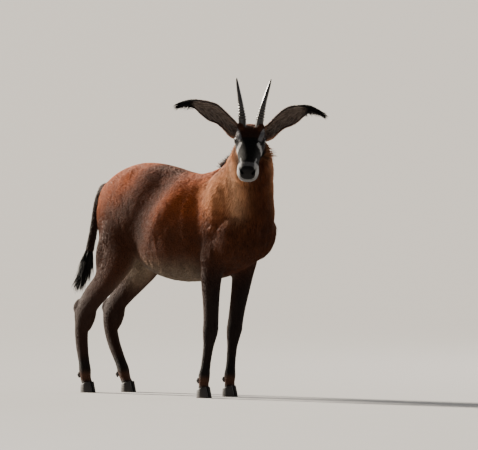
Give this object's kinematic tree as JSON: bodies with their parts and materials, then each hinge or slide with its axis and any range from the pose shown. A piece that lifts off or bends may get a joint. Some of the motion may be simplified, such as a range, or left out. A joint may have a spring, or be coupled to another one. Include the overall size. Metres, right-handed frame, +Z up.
{
  "type": "roan antelope",
  "caption": "Standing life-size model of a young antelope with long tasselled ears, short ringed horns and an upright mane, its head turned to its right.",
  "frame": {"origin": "on the floor under the middle of the bounding box", "axes": "+X from the tail towards the chest, +Y to the animal's left, +Z up from the soles"},
  "size_m": [1.4458, 0.5004, 1.5229],
  "materials": {
    "coat": "short chestnut hair",
    "face": "short black hair with white marks",
    "dark_coat": "short dark brown hair",
    "black_hair": "long black hair",
    "ear": "thin haired skin with a black rim",
    "horn": "dull ringed horn",
    "hoof": "dull horn",
    "eye": "wet gloss"
  },
  "bodies": {
    "root": {"dewclaw_fore_left_inner": "hoof", "dewclaw_fore_left_outer": "hoof", "dewclaw_fore_right_inner": "hoof", "dewclaw_fore_right_outer": "hoof", "dewclaw_hind_left_inner": "hoof", "dewclaw_hind_left_outer": "hoof", "dewclaw_hind_right_inner": "hoof", "dewclaw_hind_right_outer": "hoof", "ear_left": "ear", "ear_right": "ear", "eye_left": "eye", "eye_right": "eye", "foreleg_left": "dark_coat", "foreleg_right": "dark_coat", "head": "face", "hindleg_left": "dark_coat", "hindleg_right": "dark_coat", "hoof_fore_left_inner": "hoof", "hoof_fore_left_outer": "hoof", "hoof_fore_right_inner": "hoof", "hoof_fore_right_outer": "hoof", "hoof_hind_left_inner": "hoof", "hoof_hind_left_outer": "hoof", "hoof_hind_right_inner": "hoof", "hoof_hind_right_outer": "hoof", "horn_left": "horn", "horn_right": "horn", "neck": "coat", "tail": "dark_coat", "tail_tuft": "black_hair", "torso": "coat"}
  },
  "joints": []
}
